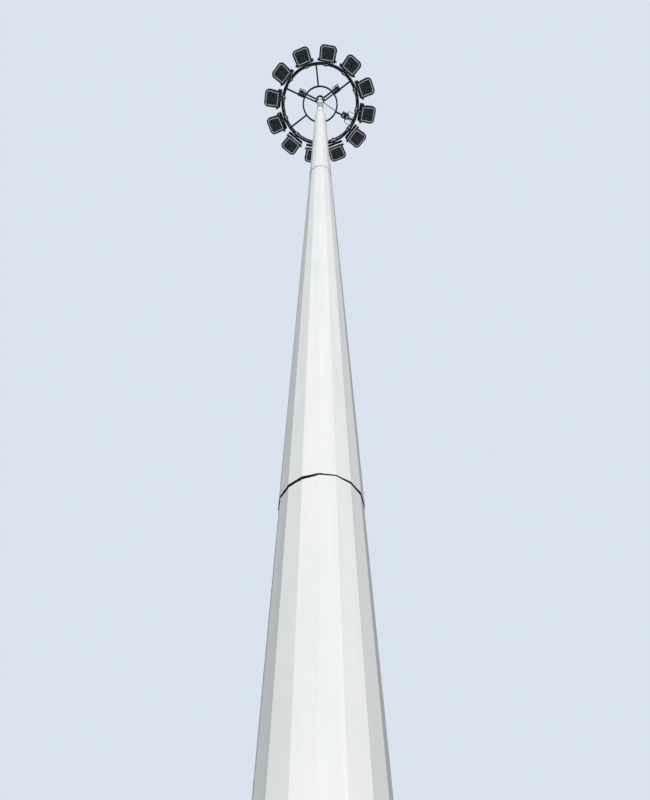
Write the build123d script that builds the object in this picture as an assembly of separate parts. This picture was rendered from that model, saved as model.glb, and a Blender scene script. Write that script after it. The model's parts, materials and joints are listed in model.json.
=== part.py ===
"""High mast floodlight tower: a tapered sixteen-sided steel mast, a three-armed head frame with
hoist sheaves, and a lowering ring that carries twelve tilting floodlights.

Millimetres, +Z up. The origin is the centre of the base flange's underside.
A bearing is measured from the front (-Y) towards +X, in degrees.
"""
import os
from math import asin, atan, atan2, cos, degrees, hypot, pi, radians, sin

from build123d import *

# ---------------------------------------------------------------- driving dimensions
# mast shaft
SIDES = 16
TAPER_RATIO = 0.0126         # radius lost per unit of height
JOINT_1_Z = 5410.0           # lip of the middle section
JOINT_2_Z = 14120.0          # lip of the upper section
SHAFT_TOP_Z = 19700.0
WALL_LOWER = 6.0
WALL_MIDDLE = 5.0
WALL_UPPER = 4.0
LAP_GAP = 0.3                # between slipped sections
LAP_RATIO = 1.5              # lap length over the diameter at the lip
TUBE_SEAT = 41.5             # from the head tube's side to the shaft's corners, at the shaft's top

# base
FLANGE_RADIUS = 490.0
FLANGE_THICKNESS = 40.0
FLANGE_BORE_RADIUS = 170.0
ANCHOR_CIRCLE_RADIUS = 435.0
ANCHOR_HOLE_RADIUS = 18.0
GUSSET_HEIGHT = 260.0
GUSSET_THICKNESS = 12.0
DOOR_WIDTH = 220.0
DOOR_HEIGHT = 820.0
DOOR_CENTRE_Z = 980.0
DOOR_FRAME_BAR = 14.0
DOOR_COVER_THICKNESS = 6.0
DOOR_COVER_OVERLAP = 22.0

# head tube
TUBE_RADIUS = 80.0
TUBE_WALL = 6.0
TUBE_RISE = 2180.0           # length that stands above the shaft
TUBE_SPIGOT = 250.0          # length held inside the shaft
COLLAR_WALL = 18.0
COLLAR_HEIGHT = 60.0
REDUCER_HEIGHT = 180.0

# lowering ring
RING_DROP = 610.0            # from the head tube's top to the middle of the ring, at rest
RING_TURN = -2.8             # bearing of the first spoke
SPOKES = 6
SHAFT_CLEARANCE = 54.0       # from the foot of the shaft to the inner ring, which comes down over it
RING_SPACING = 503.0         # open width between the inner ring and the outer ring
CHANNEL_WIDTH = 45.0
INNER_CHANNEL_WIDTH = 38.0
CHANNEL_THICKNESS = 5.0
SPOKE_SIZE = 40.0
SPOKE_WALL = 3.0

# head frame
HUB_MARGIN = 32.0            # hub beyond the head tube's side
HUB_THICKNESS = 20.0
ARM_LIFT = 280.0             # from the middle of the ring to the underside of the arms
ARM_CHANNEL_WIDTH = 32.0
ARM_CHANNEL_HEIGHT = 60.0
ARM_CHANNEL_THICKNESS = 5.0
ARM_COLLAR_WALL = 8.0        # collar round the head tube that carries the arms
ARM_COLLAR_END = 10.0        # collar above and below the arms
ARM_ROOT_LENGTH = 60.0       # tie plate under both channels, out from the collar
ARM_ROOT_THICKNESS = 8.0
SHEAVE_PLATE = 8.0
SHEAVE_PITCH_RADIUS = 65.0
INNER_SHEAVE_PITCH_RADIUS = 45.0
SHEAVE_RIM = 7.0             # rim beyond the rope's centre line
SHEAVE_WIDTH = 24.0
SHEAVE_SIDE_CLEARANCE = 5.0
SHEAVE_BOSS_RADIUS = 24.0
SHEAVE_DISH = 5.0            # depth of the dished sides
SHEAVE_BOX_MARGIN = 14.0     # sheave box beyond the sheave's rim, along the arm
SHEAVE_BOX_HALF_HEIGHT = 42.0
SHEAVE_BOX_POST = 22.0
SHEAVE_RISE = 440.0          # outer sheaves above the underside of the arms
INNER_SHEAVE_GAP = 8.0       # inner sheave's rim above the hub
AXLE_RADIUS = 12.5
AXLE_END = 8.0               # axle beyond its plates
RUNNING_CLEARANCE = 0.09
CAP_GAP = 10.0
CAP_THICKNESS = 6.0
ROPE_RADIUS = 4.0
ROPE_GAP = 0.4               # between a rope and its groove
ROPE_IN = 40.0               # ropes in the head tube, from the mast axis
ROPE_START_DEPTH = 300.0     # where the modelled rope begins, below the tube's top

# docking
DOCK_OFFSET = 48.0           # docking pin beyond the inner ring
ROPE_OFFSET = 80.0           # rope beyond the docking pin
DOCK_SOCKET_RADIUS = 34.0
DOCK_PIN_RADIUS = 13.0
DOCK_CLEARANCE = 5.0
ANCHOR_BRACKET_LENGTH = 160.0
ANCHOR_BRACKET_WIDTH = 76.0
ANCHOR_BRACKET_THICKNESS = 12.0
ROPE_SOCKET_HEIGHT = 46.0

# floodlights
LAMPS = 12
LAMP_TILT = 10.0             # outward aim at rest
LAMP_PIVOT_OFFSET = 75.0     # pivot beyond the outer ring
LAMP_PIVOT_DROP = 290.0      # pivot below the middle of the ring
LAMP_WIDTH = 440.0
LAMP_INNER_WIDTH = 396.0
LAMP_LENGTH = 385.0
LAMP_NOSE = 40.0             # pivot to the inner end
LAMP_FACE_DROP = 35.0        # pivot to the front face
LAMP_BACK_RISE = 105.0
LAMP_RIM_DEPTH = 30.0
LAMP_RIM_OVERHANG = 12.0
LAMP_OUTER_CORNER = 105.0
LAMP_INNER_CORNER = 30.0
LAMP_EAR = 30.0              # pivot boss, inward from the housing's side
LAMP_PIN_CLEARANCE = 3.0
LAMP_FRAME = 32.0
LAMP_LEDGE = 8.0
GLASS_THICKNESS = 6.0
YOKE_PLATE = 8.0
YOKE_LEG = 6.0
YOKE_WIDTH = 64.0
YOKE_EYE = 25.0              # leg's end round the pivot
YOKE_STANDOFF = 4.0          # yoke beyond the outer ring
BRACKET_BACK = 15.0
BRACKET_WIDTH = 68.0
SADDLE_WIDTH = 36.0
SADDLE_PLATE = 6.0
SADDLE_OVERHANG = 25.0       # saddle plates inside the outer ring, where their bolt passes
YOKE_CLEARANCE = 5.0
PIVOT_RADIUS = 8.0
KNOB_RADIUS = 24.0
KNOB_LENGTH = 26.0

# wiring
BOX_LENGTH = 180.0
BOX_WIDTH = 150.0
BOX_HEIGHT = 90.0
CABLE_RADIUS = 10.0
LEAD_RADIUS = 8.0
GLAND_WALL = 5.0
GLAND_HEIGHT = 40.0
CLAMP_OFFSET = 26.0          # power cable's clamp beyond the inner ring
SIDE_CABLE_TURN = 8.5       # bearing from the box's spoke to where a side cable enters the ring
END_CABLE_TURN = 4.0

# ---------------------------------------------------------------- derived sizes
CORNER = 1 / cos(pi / SIDES)             # corner radius over flat distance
SIDE_TAPER = degrees(atan(TAPER_RATIO / CORNER))
SHAFT_TOP_RADIUS = TUBE_RADIUS + TUBE_SEAT
LAP_STEPS = (2 * LAP_GAP + WALL_MIDDLE + WALL_UPPER) * CORNER
BASE_RADIUS = SHAFT_TOP_RADIUS - LAP_STEPS + TAPER_RATIO * SHAFT_TOP_Z
TUBE_TOP_Z = SHAFT_TOP_Z + TUBE_RISE
COLLAR_RADIUS = TUBE_RADIUS + COLLAR_WALL
HUB_RADIUS = TUBE_RADIUS + HUB_MARGIN
RING_Z = TUBE_TOP_Z - RING_DROP
CHANNEL_HEIGHT = SPOKE_SIZE + 2 * CHANNEL_THICKNESS
INNER_RING_INNER_RADIUS = BASE_RADIUS + SHAFT_CLEARANCE
INNER_RING_OUTER_RADIUS = INNER_RING_INNER_RADIUS + INNER_CHANNEL_WIDTH
OUTER_RING_INNER_RADIUS = INNER_RING_OUTER_RADIUS + RING_SPACING
OUTER_RING_RADIUS = OUTER_RING_INNER_RADIUS + CHANNEL_WIDTH
LAMP_PIVOT_RADIUS = OUTER_RING_RADIUS + LAMP_PIVOT_OFFSET
DOCK_REACH = INNER_RING_OUTER_RADIUS + DOCK_OFFSET
ROPE_REACH = DOCK_REACH + ROPE_OFFSET
OUTER_SHEAVE_REACH = ROPE_REACH - SHEAVE_PITCH_RADIUS
BOX_REACH = (INNER_RING_OUTER_RADIUS + OUTER_RING_INNER_RADIUS) / 2
CLAMP_REACH = INNER_RING_OUTER_RADIUS + CLAMP_OFFSET
HUB_TOP_Z = TUBE_TOP_Z + HUB_THICKNESS
ARM_LOW_Z = RING_Z + ARM_LIFT
ARM_TOP_Z = ARM_LOW_Z + ARM_CHANNEL_HEIGHT
SHEAVE_Z = ARM_LOW_Z + SHEAVE_RISE
INNER_SHEAVE_RIM = INNER_SHEAVE_PITCH_RADIUS + SHEAVE_RIM
INNER_SHEAVE_Z = HUB_TOP_Z + INNER_SHEAVE_GAP + INNER_SHEAVE_RIM
INNER_SHEAVE_REACH = ROPE_IN + INNER_SHEAVE_PITCH_RADIUS
ARM_GAP = SHEAVE_WIDTH + 2 * SHEAVE_SIDE_CLEARANCE
SPOKE_TOP_Z = RING_Z + SPOKE_SIZE / 2
BRACKET_TOP_Z = SPOKE_TOP_Z + ANCHOR_BRACKET_THICKNESS
ARM_BEARINGS = [RING_TURN + 60 + 120 * k for k in range(3)]
SPOKE_BEARINGS = [RING_TURN + 360 / SPOKES * k for k in range(SPOKES)]
LAMP_BEARINGS = [RING_TURN + 180 / LAMPS + 360 / LAMPS * k for k in range(LAMPS)]
BOX_BEARING = SPOKE_BEARINGS[2]

nodes = {}


def lower_radius(z):
    return BASE_RADIUS - TAPER_RATIO * z


def middle_radius(z):
    return lower_radius(z) + (LAP_GAP + WALL_MIDDLE) * CORNER


def upper_radius(z):
    return middle_radius(z) + (LAP_GAP + WALL_UPPER) * CORNER


def to_bearing(shape, bearing):
    """Turn a shape drawn along +X so that it points along a bearing."""
    return Rot(0, 0, bearing - 90) * shape


def block(x0, x1, y0, y1, z0, z1):
    return Pos((x0 + x1) / 2, (y0 + y1) / 2, (z0 + z1) / 2) * Box(x1 - x0, y1 - y0, z1 - z0)


def upright(radius, z0, z1, x=0.0, y=0.0):
    return Pos(x, y, (z0 + z1) / 2) * Cylinder(radius, z1 - z0)


def crosswise(radius, y0, y1, x, z):
    """A cylinder along Y."""
    return Pos(x, (y0 + y1) / 2, z) * Rot(90, 0, 0) * Cylinder(radius, y1 - y0)


def plate_xz(points, y0, y1):
    """A flat plate drawn in the XZ plane, between two values of Y."""
    face = Plane.XZ * make_face(Polyline(*points, close=True))
    return Pos(0, y1, 0) * extrude(face, amount=y1 - y0)


def revolved(points):
    """A ring turned from a profile of (radius, z) points."""
    return revolve(Plane.XZ * make_face(Polyline(*points, close=True)), Axis.Z)


def shaft_section(radius_at, z0, z1, wall):
    """A hollow tapered tube with flat sides, a corner facing the front."""
    def frustum(inset):
        base = Plane.XY.offset(z0) * RegularPolygon(radius_at(z0) - inset, SIDES)
        return extrude(base, amount=z1 - z0, taper=SIDE_TAPER)
    return frustum(0) - frustum(wall * CORNER)


# ---------------------------------------------------------------- base
flange = upright(FLANGE_RADIUS, 0, FLANGE_THICKNESS) - upright(FLANGE_BORE_RADIUS, -1, FLANGE_THICKNESS + 1)
for k in range(SIDES):
    turn = radians(360 / SIDES * k)
    flange -= upright(ANCHOR_HOLE_RADIUS, -1, FLANGE_THICKNESS + 1,
                      ANCHOR_CIRCLE_RADIUS * cos(turn), ANCHOR_CIRCLE_RADIUS * sin(turn))
nodes["base_flange"] = flange


def flat_distance(z):
    return lower_radius(z) / CORNER


gusset_top = FLANGE_THICKNESS + GUSSET_HEIGHT
gusset_profile = [
    (flat_distance(FLANGE_THICKNESS), FLANGE_THICKNESS),
    (FLANGE_RADIUS - 20, FLANGE_THICKNESS),
    (FLANGE_RADIUS - 20, FLANGE_THICKNESS + 35),
    (flat_distance(gusset_top) + 18, gusset_top),
    (flat_distance(gusset_top), gusset_top),
]
gusset = plate_xz(gusset_profile, -GUSSET_THICKNESS / 2, GUSSET_THICKNESS / 2)
nodes["base_gussets"] = [
    to_bearing(gusset, (k + 0.5) * 360 / SIDES) for k in range(SIDES)
]

# access door: a welded frame that stands out of the shaft, and a flat cover on it
door_bearing = 180 / SIDES
door_low = DOOR_CENTRE_Z - DOOR_HEIGHT / 2
door_high = DOOR_CENTRE_Z + DOOR_HEIGHT / 2
door_face = lower_radius(door_low) + 12
frame_inner = lower_radius(door_high) * 0.8


def door_box(grow, x0, x1):
    half = DOOR_WIDTH / 2 + grow
    return block(x0, x1, -half, half, door_low - grow, door_high + grow)


frame_outer = door_box(DOOR_FRAME_BAR, frame_inner, door_face)
door_frame = frame_outer - door_box(0, frame_inner - 1, door_face + 1)
nodes["door_frame"] = to_bearing(door_frame, door_bearing)
cover = fillet(
    door_box(DOOR_COVER_OVERLAP, door_face, door_face + DOOR_COVER_THICKNESS).edges().filter_by(Axis.X), 25)
nodes["door_cover"] = to_bearing(cover, door_bearing)

# ---------------------------------------------------------------- shaft
lap_1 = LAP_RATIO * 2 * lower_radius(JOINT_1_Z)
lap_2 = LAP_RATIO * 2 * middle_radius(JOINT_2_Z)
lower = shaft_section(lower_radius, FLANGE_THICKNESS, JOINT_1_Z + lap_1, WALL_LOWER)
nodes["mast_section_lower"] = lower - to_bearing(frame_outer, door_bearing)
nodes["mast_section_middle"] = shaft_section(middle_radius, JOINT_1_Z, JOINT_2_Z + lap_2, WALL_MIDDLE)
nodes["mast_section_upper"] = shaft_section(upper_radius, JOINT_2_Z, SHAFT_TOP_Z, WALL_UPPER)

# ---------------------------------------------------------------- head tube
tube_low = SHAFT_TOP_Z - TUBE_SPIGOT
nodes["head_tube"] = upright(TUBE_RADIUS, tube_low, TUBE_TOP_Z) - upright(
    TUBE_RADIUS - TUBE_WALL, tube_low - 1, TUBE_TOP_Z + 1)
reducer_top = SHAFT_TOP_Z + REDUCER_HEIGHT
cap_radius = upper_radius(SHAFT_TOP_Z)
nodes["shaft_reducer"] = revolved([
    (TUBE_RADIUS, SHAFT_TOP_Z),
    (cap_radius, SHAFT_TOP_Z),
    (cap_radius, SHAFT_TOP_Z + 12),
    (COLLAR_RADIUS - 8, reducer_top),
    (COLLAR_RADIUS, reducer_top),
    (COLLAR_RADIUS, reducer_top + COLLAR_HEIGHT),
    (TUBE_RADIUS, reducer_top + COLLAR_HEIGHT),
])

# ---------------------------------------------------------------- head frame
hub = upright(HUB_RADIUS, TUBE_TOP_Z, HUB_TOP_Z) - upright(TUBE_RADIUS - TUBE_WALL, TUBE_TOP_Z - 1, HUB_TOP_Z + 1)
nodes["head_hub"] = hub

web_in = ARM_GAP / 2
channel_out = web_in + ARM_CHANNEL_WIDTH
box_in = channel_out - SHEAVE_PLATE
box_half = SHEAVE_PITCH_RADIUS + SHEAVE_RIM + SHEAVE_BOX_MARGIN
box_start = OUTER_SHEAVE_REACH - box_half
box_end = OUTER_SHEAVE_REACH + box_half
box_low = SHEAVE_Z - SHEAVE_BOX_HALF_HEIGHT
box_high = SHEAVE_Z + SHEAVE_BOX_HALF_HEIGHT
collar_radius = TUBE_RADIUS + ARM_COLLAR_WALL

# a collar on the head tube that the arms are welded to
arm_collar = upright(collar_radius, ARM_LOW_Z - ARM_COLLAR_END, ARM_TOP_Z + ARM_COLLAR_END)
arm_collar -= upright(TUBE_RADIUS, ARM_LOW_Z - ARM_COLLAR_END - 1, ARM_TOP_Z + ARM_COLLAR_END + 1)


def channel(y_web, y_tip):
    """An arm's channel with its web towards the rope and its flanges outward."""
    step = ARM_CHANNEL_THICKNESS if y_tip > y_web else -ARM_CHANNEL_THICKNESS
    web = block(TUBE_RADIUS, box_end, *sorted((y_web, y_web + step)), ARM_LOW_Z, ARM_TOP_Z)
    for z in (ARM_LOW_Z, ARM_TOP_Z - ARM_CHANNEL_THICKNESS):
        web += block(TUBE_RADIUS, box_end, *sorted((y_web, y_tip)), z, z + ARM_CHANNEL_THICKNESS)
    return web


def sheave_side(y0, y1):
    """One open side of a sheave box: two posts, and a plate with cut corners that holds the axle."""
    cut = SHEAVE_BOX_POST
    side = plate_xz([
        (box_start, ARM_TOP_Z), (box_end, ARM_TOP_Z), (box_end, box_high - cut),
        (box_end - cut, box_high), (box_start + cut, box_high), (box_start, box_high - cut),
    ], y0, y1)
    window = plate_xz([
        (box_start + SHEAVE_BOX_POST, ARM_TOP_Z - 1), (box_end - SHEAVE_BOX_POST, ARM_TOP_Z - 1),
        (box_end - SHEAVE_BOX_POST, box_low - cut), (box_end - SHEAVE_BOX_POST - cut, box_low),
        (box_start + SHEAVE_BOX_POST + cut, box_low), (box_start + SHEAVE_BOX_POST, box_low - cut),
    ], y0 - 1, y1 + 1)
    return side - window


arm = channel(web_in, channel_out) + channel(-web_in, -channel_out)
for s in (-1, 1):
    arm += sheave_side(*sorted((s * box_in, s * channel_out)))
for x in (box_start, box_end - SHEAVE_PLATE):
    arm += block(x, x + SHEAVE_PLATE, -channel_out, channel_out, box_low, box_low + SHEAVE_BOX_HALF_HEIGHT)
    arm += block(x, x + SHEAVE_PLATE, -channel_out, channel_out, ARM_TOP_Z - SHEAVE_PLATE, ARM_TOP_Z)
arm += block(TUBE_RADIUS, collar_radius + ARM_ROOT_LENGTH, -channel_out, channel_out,
             ARM_LOW_Z - ARM_ROOT_THICKNESS, ARM_LOW_Z)
arm -= upright(collar_radius, ARM_LOW_Z - ARM_COLLAR_END, ARM_TOP_Z + 1)
arm -= crosswise(AXLE_RADIUS, -channel_out - 1, channel_out + 1, OUTER_SHEAVE_REACH, SHEAVE_Z)

# plates on the hub that hold the inner sheaves
inner_top = INNER_SHEAVE_Z + INNER_SHEAVE_RIM + CAP_GAP
hub_cut = AXLE_RADIUS
hub_plate_end = HUB_RADIUS - 2
hub_plate_profile = [
    (INNER_SHEAVE_REACH - 2.4 * AXLE_RADIUS, HUB_TOP_Z), (hub_plate_end, HUB_TOP_Z),
    (hub_plate_end, inner_top - hub_cut), (hub_plate_end - hub_cut, inner_top),
    (INNER_SHEAVE_REACH - hub_cut, inner_top), (INNER_SHEAVE_REACH - 2.4 * AXLE_RADIUS, inner_top - hub_cut),
]
hub_plates = [
    plate_xz(hub_plate_profile, *sorted((s * web_in, s * (web_in + SHEAVE_PLATE))))
    - crosswise(AXLE_RADIUS, -channel_out, channel_out, INNER_SHEAVE_REACH, INNER_SHEAVE_Z)
    for s in (-1, 1)
]
nodes["head_arms"] = [to_bearing(piece, bearing) for bearing in ARM_BEARINGS for piece in (arm, *hub_plates)]


def sheave_axle(reach, z, plate_face, plate_back):
    """A pin through both plates, with a spacing collar each side of the sheave."""
    pin = crosswise(AXLE_RADIUS, -plate_back - AXLE_END, plate_back + AXLE_END, reach, z)
    for s in (-1, 1):
        pin += crosswise(AXLE_RADIUS + 7, *sorted((s * (SHEAVE_WIDTH / 2 + 1), s * plate_face)), reach, z)
    return pin


axles = [
    sheave_axle(INNER_SHEAVE_REACH, INNER_SHEAVE_Z, web_in, web_in + SHEAVE_PLATE),
    sheave_axle(OUTER_SHEAVE_REACH, SHEAVE_Z, box_in, channel_out),
]
nodes["sheave_axles"] = [to_bearing(pin, bearing) for bearing in ARM_BEARINGS for pin in axles]
nodes["head_top_plate"] = upright(HUB_RADIUS, inner_top, inner_top + CAP_THICKNESS)


def grooved_sheave(pitch_radius):
    """A sheave about the Y axis, with dished sides, a boss and a rope groove."""
    groove = pitch_radius - ROPE_RADIUS - ROPE_GAP
    rim = pitch_radius + SHEAVE_RIM
    half_width = SHEAVE_WIDTH / 2
    floor = ROPE_RADIUS + ROPE_GAP
    lip = 3.0
    return Rot(90, 0, 0) * revolved([
        (AXLE_RADIUS + RUNNING_CLEARANCE, -half_width),
        (SHEAVE_BOSS_RADIUS, -half_width),
        (groove - 5, -half_width + SHEAVE_DISH),
        (rim, -half_width),
        (rim, -half_width + lip),
        (groove, -floor),
        (groove, floor),
        (rim, half_width - lip),
        (rim, half_width),
        (groove - 5, half_width - SHEAVE_DISH),
        (SHEAVE_BOSS_RADIUS, half_width),
        (AXLE_RADIUS + RUNNING_CLEARANCE, half_width),
    ])


inner_sheave = Pos(INNER_SHEAVE_REACH, 0, INNER_SHEAVE_Z) * grooved_sheave(INNER_SHEAVE_PITCH_RADIUS)
outer_sheave = Pos(OUTER_SHEAVE_REACH, 0, SHEAVE_Z) * grooved_sheave(SHEAVE_PITCH_RADIUS)
for n, bearing in enumerate(ARM_BEARINGS, 1):
    nodes[f"sheave_inner_{n}"] = to_bearing(inner_sheave, bearing)
    nodes[f"sheave_outer_{n}"] = to_bearing(outer_sheave, bearing)

# hoist ropes: out of the tube, over both sheaves, then straight down to the ring
run = OUTER_SHEAVE_REACH - INNER_SHEAVE_REACH
fall = SHEAVE_Z - INNER_SHEAVE_Z
lean = asin((INNER_SHEAVE_PITCH_RADIUS - SHEAVE_PITCH_RADIUS) / hypot(run, fall)) - atan2(fall, run)


def on_sheave(reach, z, radius, turn):
    """A point on a sheave's rope line, turned outward from its top by an angle."""
    return (reach + radius * sin(turn), z + radius * cos(turn))


inner_wheel = (INNER_SHEAVE_REACH, INNER_SHEAVE_Z, INNER_SHEAVE_PITCH_RADIUS)
outer_wheel = (OUTER_SHEAVE_REACH, SHEAVE_Z, SHEAVE_PITCH_RADIUS)
rope_start = TUBE_TOP_Z - ROPE_START_DEPTH
rope_path = Plane.XZ * (
    Line((ROPE_IN, rope_start), (ROPE_IN, INNER_SHEAVE_Z))
    + ThreePointArc(*[on_sheave(*inner_wheel, turn) for turn in (-pi / 2, (lean - pi / 2) / 2, lean)])
    + Line(on_sheave(*inner_wheel, lean), on_sheave(*outer_wheel, lean))
    + ThreePointArc(*[on_sheave(*outer_wheel, turn) for turn in (lean, (lean + pi / 2) / 2, pi / 2)])
)
rope_section = Plane.XY.offset(rope_start) * Pos(ROPE_IN, 0) * RegularPolygon(ROPE_RADIUS, 8)
rope_lead = sweep(rope_section, path=rope_path)
nodes["hoist_rope_leads"] = [to_bearing(rope_lead, bearing) for bearing in ARM_BEARINGS]
socket_top = BRACKET_TOP_Z + ROPE_SOCKET_HEIGHT
drop = upright(ROPE_RADIUS, socket_top, SHEAVE_Z, ROPE_REACH)
nodes["hoist_rope_drops"] = [to_bearing(drop, bearing) for bearing in ARM_BEARINGS]

# docking sockets under the arms
dock_low = BRACKET_TOP_Z + DOCK_CLEARANCE
dock_roof = ARM_LOW_Z - 12
socket = upright(DOCK_SOCKET_RADIUS, dock_low, ARM_LOW_Z, DOCK_REACH)
socket -= upright(DOCK_PIN_RADIUS + DOCK_CLEARANCE, dock_low - 1, dock_roof, DOCK_REACH)
nodes["docking_collar"] = [arm_collar] + [to_bearing(socket, bearing) for bearing in ARM_BEARINGS]

# ---------------------------------------------------------------- lowering ring
half = CHANNEL_HEIGHT / 2


def channel_ring(web_radius, tip_radius):
    """A rolled channel whose web stands at one radius and whose flanges reach to another."""
    inward = 1 if web_radius > tip_radius else -1
    web_back = web_radius - inward * CHANNEL_THICKNESS
    return revolved([
        (web_radius, RING_Z - half),
        (web_radius, RING_Z + half),
        (tip_radius, RING_Z + half),
        (tip_radius, RING_Z + half - CHANNEL_THICKNESS),
        (web_back, RING_Z + half - CHANNEL_THICKNESS),
        (web_back, RING_Z - half + CHANNEL_THICKNESS),
        (tip_radius, RING_Z - half + CHANNEL_THICKNESS),
        (tip_radius, RING_Z - half),
    ])


nodes["outer_ring"] = channel_ring(OUTER_RING_RADIUS, OUTER_RING_INNER_RADIUS)
nodes["inner_ring"] = channel_ring(INNER_RING_INNER_RADIUS, INNER_RING_OUTER_RADIUS)
spoke_in = INNER_RING_INNER_RADIUS + CHANNEL_THICKNESS + 0.3
spoke_out = OUTER_RING_RADIUS - CHANNEL_THICKNESS - 0.3
side = SPOKE_SIZE / 2
hollow = side - SPOKE_WALL
spoke = block(spoke_in, spoke_out, -side, side, RING_Z - side, RING_Z + side)
spoke -= block(spoke_in - 1, spoke_out + 1, -hollow, hollow, RING_Z - hollow, RING_Z + hollow)
nodes["ring_spokes"] = [to_bearing(spoke, bearing) for bearing in SPOKE_BEARINGS]

bracket_mid = (DOCK_REACH + ROPE_REACH) / 2
bracket = block(bracket_mid - ANCHOR_BRACKET_LENGTH / 2, bracket_mid + ANCHOR_BRACKET_LENGTH / 2,
                -ANCHOR_BRACKET_WIDTH / 2, ANCHOR_BRACKET_WIDTH / 2, SPOKE_TOP_Z, BRACKET_TOP_Z)
pin_top = dock_roof - DOCK_CLEARANCE
bracket += upright(DOCK_PIN_RADIUS, BRACKET_TOP_Z, pin_top - 16, DOCK_REACH)
bracket += Pos(DOCK_REACH, 0, pin_top - 8) * Cone(DOCK_PIN_RADIUS, DOCK_PIN_RADIUS * 0.4, 16)
clevis = block(ROPE_REACH - 20, ROPE_REACH + 20, -14, 14, BRACKET_TOP_Z, socket_top)
nodes["hoist_brackets"] = [to_bearing(bracket, bearing) for bearing in ARM_BEARINGS]
nodes["rope_sockets"] = [to_bearing(clevis, bearing) for bearing in ARM_BEARINGS]

# ---------------------------------------------------------------- wiring on the ring
box_start_x = BOX_REACH - BOX_LENGTH / 2
box_top = SPOKE_TOP_Z + BOX_HEIGHT
box_body = fillet(
    block(box_start_x, box_start_x + BOX_LENGTH, -BOX_WIDTH / 2, BOX_WIDTH / 2, SPOKE_TOP_Z, box_top).edges(), 8)
nodes["junction_box"] = to_bearing(box_body, BOX_BEARING)

# the power cable hangs from the hub to a clamp on the spoke, and runs on along the spoke to the box
clamp_top = SPOKE_TOP_Z + 2 * GLAND_HEIGHT
cable_exit = (TUBE_RADIUS + HUB_RADIUS) / 2
cable_exit_z = TUBE_TOP_Z - GLAND_HEIGHT
gland_radius = CABLE_RADIUS + GLAND_WALL
hub_gland = upright(gland_radius, cable_exit_z, TUBE_TOP_Z, cable_exit)
nodes["hub_cable_gland"] = to_bearing(hub_gland, BOX_BEARING)
power_path = Plane.XZ * Line((CLAMP_REACH, clamp_top), (cable_exit, cable_exit_z))
power_cable = sweep(Plane.XY.offset(clamp_top) * Pos(CLAMP_REACH, 0) * Circle(CABLE_RADIUS), path=power_path)
nodes["power_cable"] = to_bearing(power_cable, BOX_BEARING)
clamp = block(CLAMP_REACH - gland_radius, CLAMP_REACH + gland_radius, -gland_radius, gland_radius,
              SPOKE_TOP_Z, clamp_top)
nodes["cable_clamp"] = to_bearing(clamp, BOX_BEARING)
lead_z = SPOKE_TOP_Z + LEAD_RADIUS + 4
spoke_lead = Pos((CLAMP_REACH + gland_radius + box_start_x) / 2, 0, lead_z) * Rot(0, 90, 0) * Cylinder(
    LEAD_RADIUS, box_start_x - CLAMP_REACH - gland_radius)
cable_z = SPOKE_TOP_Z + BOX_HEIGHT / 4
ring_entry = OUTER_RING_RADIUS - CHANNEL_THICKNESS - 0.3


def ring_cable(start, leave, turn):
    """A cable that leaves the box, bends outward and runs into the open side of the outer ring."""
    outward = (cos(radians(turn)), sin(radians(turn)), 0)
    end = (ring_entry * outward[0], ring_entry * outward[1], RING_Z)
    path = Spline(start, end, tangents=(leave, outward))
    section = Plane(origin=start, z_dir=leave) * RegularPolygon(LEAD_RADIUS, 8)
    return sweep(section, path=path)


ring_cables = [spoke_lead]
for s in (-1, 1):
    side_start = (BOX_REACH + BOX_LENGTH / 6, s * BOX_WIDTH / 2, cable_z)
    end_start = (box_start_x + BOX_LENGTH, s * BOX_WIDTH / 4, cable_z)
    ring_cables.append(ring_cable(side_start, (0, s, 0), s * SIDE_CABLE_TURN))
    ring_cables.append(ring_cable(end_start, (1, 0, 0), s * END_CABLE_TURN))
nodes["ring_leads"] = [to_bearing(cable, BOX_BEARING) for cable in ring_cables]

# ---------------------------------------------------------------- floodlights
lamp_end = LAMP_LENGTH - LAMP_NOSE
face_z = -LAMP_FACE_DROP
rim_top = face_z + LAMP_RIM_DEPTH


def lamp_prism(inset, z0, z1):
    """The housing's rounded outline about the pivot, drawn in by an inset and given a depth."""
    x0 = -LAMP_NOSE + inset
    x1 = lamp_end - inset
    outer_w = LAMP_WIDTH / 2 - inset
    inner_w = LAMP_INNER_WIDTH / 2 - inset
    corners = [(x0, -inner_w), (x1, -outer_w), (x1, outer_w), (x0, inner_w)]
    sheet = make_face(Polyline(*corners, close=True))
    prism = extrude(Plane.XY.offset(z0) * sheet, amount=z1 - z0)
    outer = prism.edges().filter_by(Axis.Z).filter_by(lambda e: e.center().X > x1 - 1)
    prism = fillet(outer, LAMP_OUTER_CORNER - inset)
    inner = prism.edges().filter_by(Axis.Z).filter_by(lambda e: e.center().X < x0 + 1)
    return fillet(inner, max(LAMP_INNER_CORNER - inset, 8))


body_side = plate_xz([
    (-LAMP_NOSE, face_z), (lamp_end, face_z), (lamp_end, rim_top + 12), (lamp_end - 75, LAMP_BACK_RISE),
    (95, LAMP_BACK_RISE), (22, LAMP_NOSE), (-LAMP_NOSE * 0.6, LAMP_NOSE), (-LAMP_NOSE, LAMP_NOSE * 0.3),
], -LAMP_WIDTH, LAMP_WIDTH)
cavity_side = plate_xz([
    (12, face_z - 1), (lamp_end - 44, face_z - 1), (lamp_end - 44, rim_top + 20),
    (lamp_end - 80, LAMP_BACK_RISE - 7), (97, LAMP_BACK_RISE - 7), (20, LAMP_NOSE - 8), (12, LAMP_NOSE - 10),
], -LAMP_WIDTH, LAMP_WIDTH)
housing = lamp_prism(0, face_z, rim_top)
housing += lamp_prism(LAMP_RIM_OVERHANG, face_z, LAMP_BACK_RISE) & body_side
housing -= lamp_prism(LAMP_FRAME, face_z - 1, face_z + LAMP_LEDGE)
cavity_half = LAMP_INNER_WIDTH / 2 - LAMP_FRAME - LAMP_LEDGE
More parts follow.
